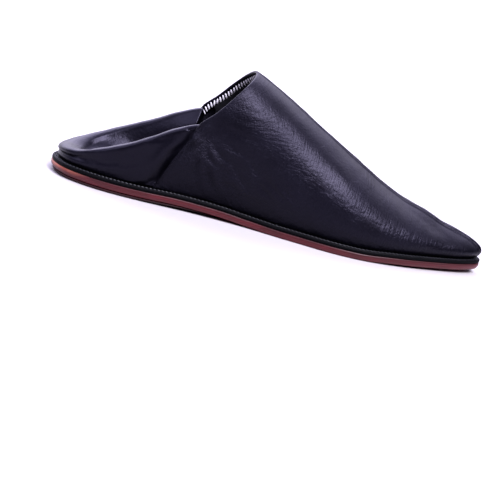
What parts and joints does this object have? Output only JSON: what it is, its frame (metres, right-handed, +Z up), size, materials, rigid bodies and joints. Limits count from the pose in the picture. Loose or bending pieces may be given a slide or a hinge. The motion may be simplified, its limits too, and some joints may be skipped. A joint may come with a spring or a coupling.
{
  "type": "babouche slipper",
  "caption": "Backless pointed leather slipper: a domed vamp with a raised collar, a heel quarter folded flat inside, a sewn welt and a thin leather sole.",
  "frame": {"origin": "on the ground under the middle of the sole's length, on the slipper's centre plane", "axes": "+X towards the toe, +Y towards the left of a wearer who faces +X, +Z up"},
  "size_m": [0.29, 0.092, 0.093],
  "materials": {
    "upper_leather": "black sheepskin with a blue cast, fine creased grain, semi-gloss",
    "welt_leather": "black strip leather, dull, with waxed stitches",
    "sole_leather": "vegetable-tanned sole leather, edge dyed red-brown and waxed",
    "lift_leather": "vegetable-tanned leather, dark red-brown cut edge",
    "insole_leather": "black lining leather, matt"
  },
  "bodies": {
    "root": {"outsole": "sole_leather", "heel_lift": "lift_leather", "welt": "welt_leather", "insole": "insole_leather", "upper": "upper_leather"}
  },
  "joints": []
}
